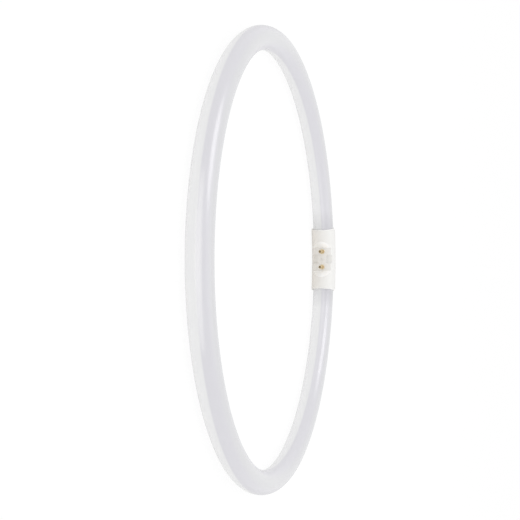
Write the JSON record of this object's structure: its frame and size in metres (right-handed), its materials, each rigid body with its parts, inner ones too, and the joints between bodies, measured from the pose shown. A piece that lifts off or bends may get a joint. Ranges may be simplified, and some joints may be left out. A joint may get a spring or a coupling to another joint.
{
  "type": "circular led tube",
  "caption": "Ring-shaped opal LED tube lamp whose ends meet in a white plug cap with brass contact pins.",
  "frame": {"origin": "centre of the ring, in the plane of the tube's centre line", "axes": "+Z along the ring's axis with the ring lying flat, +X towards the middle of the plug cap"},
  "size_m": [0.3014, 0.3, 0.0184],
  "materials": {
    "opal_glass": "opal glass, glossy outside",
    "cap_plastic": "moulded warm white plastic, satin",
    "pin_brass": "turned brass",
    "board_green": "solder resist",
    "black_moulding": "moulded epoxy",
    "fuse_ceramic": "ceramic barrel with metal end caps",
    "capacitor_case": "boxed film capacitor",
    "strip_white": "white solder resist",
    "silicone": "cured silicone",
    "chip_yellow": "phosphor-filled chips",
    "lead_red": "insulated wire",
    "lead_black": "insulated wire"
  },
  "bodies": {
    "root": {"opal_tube": "opal_glass", "cap_inner_shell": "cap_plastic", "cap_outer_shell": "cap_plastic", "contact_pin_1": "pin_brass", "contact_pin_2": "pin_brass", "terminal_board": "board_green", "bridge_rectifier": "black_moulding", "fuse": "fuse_ceramic", "capacitor": "capacitor_case", "light_strip": "strip_white", "inner_bond_bead": "silicone", "outer_bond_bead": "silicone", "light_chips": "chip_yellow", "tube_seal_1": "silicone", "tube_seal_2": "silicone", "positive_lead": "lead_red", "negative_lead": "lead_black"}
  },
  "joints": []
}
